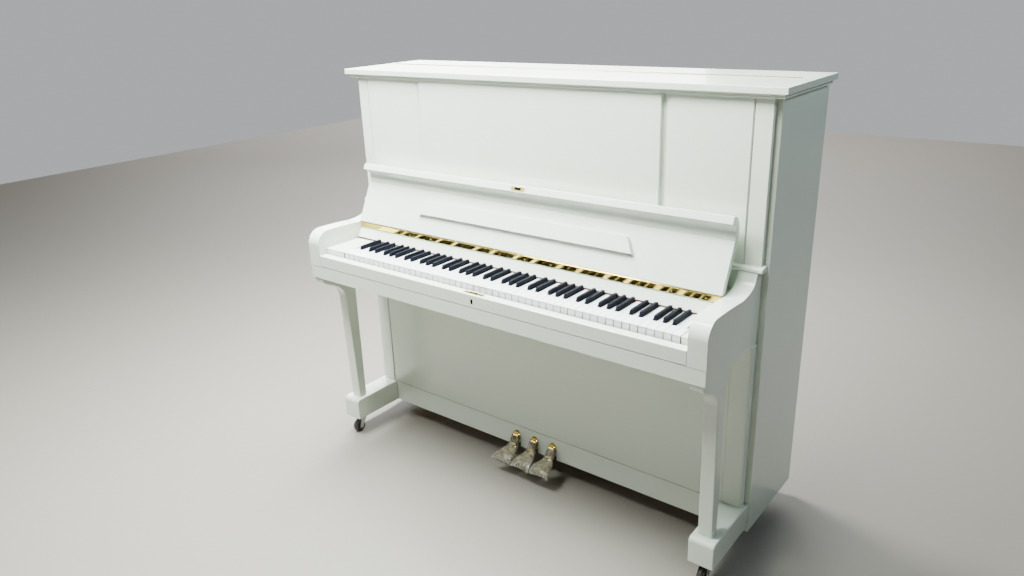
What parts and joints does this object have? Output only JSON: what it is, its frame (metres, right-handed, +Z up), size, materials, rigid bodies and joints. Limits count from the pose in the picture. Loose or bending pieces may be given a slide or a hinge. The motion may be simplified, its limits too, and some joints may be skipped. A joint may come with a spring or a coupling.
{
  "type": "upright piano",
  "caption": "Tall upright piano in off-white lacquer with a fallboard, folding music desk, brass pedals, toe blocks and casters.",
  "frame": {"origin": "on the floor, under the middle of the bounding box", "axes": "+Z up, +X to the player's right, the player sits on the -Y side"},
  "size_m": [1.531, 0.641, 1.313],
  "materials": {
    "lacquered_wood": "off-white polyester lacquer, polished",
    "brass": "polished",
    "felt": "dark red felt",
    "plain_wood": "bare timber",
    "spruce": "varnished spruce",
    "cast_iron": "bronze paint",
    "string_steel": "drawn wire",
    "nickelled_steel": "nickelled",
    "wheel_rubber": "black, hard",
    "white_plastic": "polished",
    "black_plastic": "satin"
  },
  "bodies": {
    "case": {"side_board_left": "lacquered_wood", "side_board_right": "lacquered_wood", "lid_rear": "lacquered_wood", "upper_panel": "lacquered_wood", "stile_left": "lacquered_wood", "stile_right": "lacquered_wood", "arm_left": "lacquered_wood", "arm_right": "lacquered_wood", "key_bed": "lacquered_wood", "key_slip": "lacquered_wood", "slip_lock": "brass", "key_block_left": "lacquered_wood", "key_block_right": "lacquered_wood", "name_rail": "lacquered_wood", "name_felt": "felt", "fallboard_hinge": "brass", "kick_panel": "lacquered_wood", "lower_stile_left": "lacquered_wood", "lower_stile_right": "lacquered_wood", "bottom_rail": "lacquered_wood", "bottom_board": "plain_wood", "toe_left": "lacquered_wood", "toe_right": "lacquered_wood", "leg_left": "lacquered_wood", "leg_right": "lacquered_wood", "back_frame": "plain_wood", "soundboard": "spruce", "iron_plate": "cast_iron", "strings": "string_steel", "action": "plain_wood", "caster_rear_left_fork": "nickelled_steel", "caster_rear_right_fork": "nickelled_steel"},
    "front_lid": {"lid_front": "lacquered_wood"},
    "fall": {"fallboard": "lacquered_wood", "fallboard_lip": "lacquered_wood", "lock_strike": "brass"},
    "desk": {"music_desk": "lacquered_wood"},
    "left_pedal": {"pedal_left": "brass"},
    "middle_pedal": {"pedal_middle": "brass"},
    "right_pedal": {"pedal_right": "brass"},
    "white_keys_1": {"naturals_1": "white_plastic"},
    "black_keys_1": {"sharps_1": "black_plastic"},
    "white_keys_2": {"naturals_2": "white_plastic"},
    "black_keys_2": {"sharps_2": "black_plastic"},
    "white_keys_3": {"naturals_3": "white_plastic"},
    "black_keys_3": {"sharps_3": "black_plastic"},
    "white_keys_4": {"naturals_4": "white_plastic"},
    "black_keys_4": {"sharps_4": "black_plastic"},
    "white_keys_5": {"naturals_5": "white_plastic"},
    "black_keys_5": {"sharps_5": "black_plastic"},
    "white_keys_6": {"naturals_6": "white_plastic"},
    "black_keys_6": {"sharps_6": "black_plastic"},
    "white_keys_7": {"naturals_7": "white_plastic"},
    "black_keys_7": {"sharps_7": "black_plastic"},
    "front_left_caster": {"caster_front_left_fork": "nickelled_steel"},
    "front_left_wheel": {"caster_front_left_wheel": "wheel_rubber"},
    "rear_left_wheel": {"caster_rear_left_wheel": "wheel_rubber"},
    "front_right_caster": {"caster_front_right_fork": "nickelled_steel"},
    "front_right_wheel": {"caster_front_right_wheel": "wheel_rubber"},
    "rear_right_wheel": {"caster_rear_right_wheel": "wheel_rubber"}
  },
  "joints": [
    {"name": "lid_hinge", "type": "hinge", "parent": "case", "child": "front_lid", "pos_m": [0, 0.1505, 1.3135], "axis": [-1, 0, 0], "range_deg": [0, 175]},
    {"name": "fall_hinge", "type": "hinge", "parent": "case", "child": "fall", "pos_m": [0, -0.132, 0.8065], "axis": [1, 0, 0], "range_deg": [0, 124]},
    {"name": "desk_hinge", "type": "hinge", "parent": "fall", "child": "desk", "pos_m": [0, -0.116, 0.864], "axis": [-1, 0, 0], "range_deg": [-110, 0]},
    {"name": "left_pedal_hinge", "type": "hinge", "parent": "case", "child": "left_pedal", "pos_m": [-0.075, 0.09, 0.118], "axis": [1, 0, 0], "range_deg": [0, 4], "stiffness_Nm_per_rad": 40, "springref_deg": -6.88},
    {"name": "middle_pedal_hinge", "type": "hinge", "parent": "case", "child": "middle_pedal", "pos_m": [0, 0.09, 0.118], "axis": [1, 0, 0], "range_deg": [0, 4], "stiffness_Nm_per_rad": 40, "springref_deg": -6.88},
    {"name": "right_pedal_hinge", "type": "hinge", "parent": "case", "child": "right_pedal", "pos_m": [0.075, 0.09, 0.118], "axis": [1, 0, 0], "range_deg": [0, 4], "stiffness_Nm_per_rad": 40, "springref_deg": -6.88},
    {"name": "white_keys_1_balance", "type": "hinge", "parent": "case", "child": "white_keys_1", "pos_m": [-0.5022, -0.0745, 0.7385], "axis": [1, 0, 0], "range_deg": [0, 2.6], "stiffness_Nm_per_rad": 12, "springref_deg": -8.59},
    {"name": "black_keys_1_balance", "type": "hinge", "parent": "case", "child": "black_keys_1", "pos_m": [-0.5022, -0.0745, 0.7385], "axis": [1, 0, 0], "range_deg": [0, 2.6], "stiffness_Nm_per_rad": 12, "springref_deg": -8.59},
    {"name": "white_keys_2_balance", "type": "hinge", "parent": "case", "child": "white_keys_2", "pos_m": [-0.3377, -0.0745, 0.7385], "axis": [1, 0, 0], "range_deg": [0, 2.6], "stiffness_Nm_per_rad": 12, "springref_deg": -8.59},
    {"name": "black_keys_2_balance", "type": "hinge", "parent": "case", "child": "black_keys_2", "pos_m": [-0.3377, -0.0745, 0.7385], "axis": [1, 0, 0], "range_deg": [0, 2.6], "stiffness_Nm_per_rad": 12, "springref_deg": -8.59},
    {"name": "white_keys_3_balance", "type": "hinge", "parent": "case", "child": "white_keys_3", "pos_m": [-0.1732, -0.0745, 0.7385], "axis": [1, 0, 0], "range_deg": [0, 2.6], "stiffness_Nm_per_rad": 12, "springref_deg": -8.59},
    {"name": "black_keys_3_balance", "type": "hinge", "parent": "case", "child": "black_keys_3", "pos_m": [-0.1732, -0.0745, 0.7385], "axis": [1, 0, 0], "range_deg": [0, 2.6], "stiffness_Nm_per_rad": 12, "springref_deg": -8.59},
    {"name": "white_keys_4_balance", "type": "hinge", "parent": "case", "child": "white_keys_4", "pos_m": [-0.0087, -0.0745, 0.7385], "axis": [1, 0, 0], "range_deg": [0, 2.6], "stiffness_Nm_per_rad": 12, "springref_deg": -8.59},
    {"name": "black_keys_4_balance", "type": "hinge", "parent": "case", "child": "black_keys_4", "pos_m": [-0.0087, -0.0745, 0.7385], "axis": [1, 0, 0], "range_deg": [0, 2.6], "stiffness_Nm_per_rad": 12, "springref_deg": -8.59},
    {"name": "white_keys_5_balance", "type": "hinge", "parent": "case", "child": "white_keys_5", "pos_m": [0.1558, -0.0745, 0.7385], "axis": [1, 0, 0], "range_deg": [0, 2.6], "stiffness_Nm_per_rad": 12, "springref_deg": -8.59},
    {"name": "black_keys_5_balance", "type": "hinge", "parent": "case", "child": "black_keys_5", "pos_m": [0.1558, -0.0745, 0.7385], "axis": [1, 0, 0], "range_deg": [0, 2.6], "stiffness_Nm_per_rad": 12, "springref_deg": -8.59},
    {"name": "white_keys_6_balance", "type": "hinge", "parent": "case", "child": "white_keys_6", "pos_m": [0.3203, -0.0745, 0.7385], "axis": [1, 0, 0], "range_deg": [0, 2.6], "stiffness_Nm_per_rad": 12, "springref_deg": -8.59},
    {"name": "black_keys_6_balance", "type": "hinge", "parent": "case", "child": "black_keys_6", "pos_m": [0.3203, -0.0745, 0.7385], "axis": [1, 0, 0], "range_deg": [0, 2.6], "stiffness_Nm_per_rad": 12, "springref_deg": -8.59},
    {"name": "white_keys_7_balance", "type": "hinge", "parent": "case", "child": "white_keys_7", "pos_m": [0.4848, -0.0745, 0.7385], "axis": [1, 0, 0], "range_deg": [0, 2.6], "stiffness_Nm_per_rad": 12, "springref_deg": -8.59},
    {"name": "black_keys_7_balance", "type": "hinge", "parent": "case", "child": "black_keys_7", "pos_m": [0.4848, -0.0745, 0.7385], "axis": [1, 0, 0], "range_deg": [0, 2.6], "stiffness_Nm_per_rad": 12, "springref_deg": -8.59},
    {"name": "front_left_swivel", "type": "hinge", "parent": "case", "child": "front_left_caster", "pos_m": [-0.7009, -0.196, 0.068], "axis": [0, 0, 1], "continuous": true},
    {"name": "front_left_roll", "type": "hinge", "parent": "front_left_caster", "child": "front_left_wheel", "pos_m": [-0.7009, -0.214, 0.024], "axis": [1, 0, 0], "continuous": true},
    {"name": "front_right_swivel", "type": "hinge", "parent": "case", "child": "front_right_caster", "pos_m": [0.7009, -0.196, 0.068], "axis": [0, 0, 1], "continuous": true},
    {"name": "front_right_roll", "type": "hinge", "parent": "front_right_caster", "child": "front_right_wheel", "pos_m": [0.7009, -0.214, 0.024], "axis": [1, 0, 0], "continuous": true},
    {"name": "rear_left_roll", "type": "hinge", "parent": "case", "child": "rear_left_wheel", "pos_m": [-0.63, 0.245, 0.024], "axis": [1, 0, 0], "continuous": true},
    {"name": "rear_right_roll", "type": "hinge", "parent": "case", "child": "rear_right_wheel", "pos_m": [0.63, 0.245, 0.024], "axis": [1, 0, 0], "continuous": true}
  ]
}
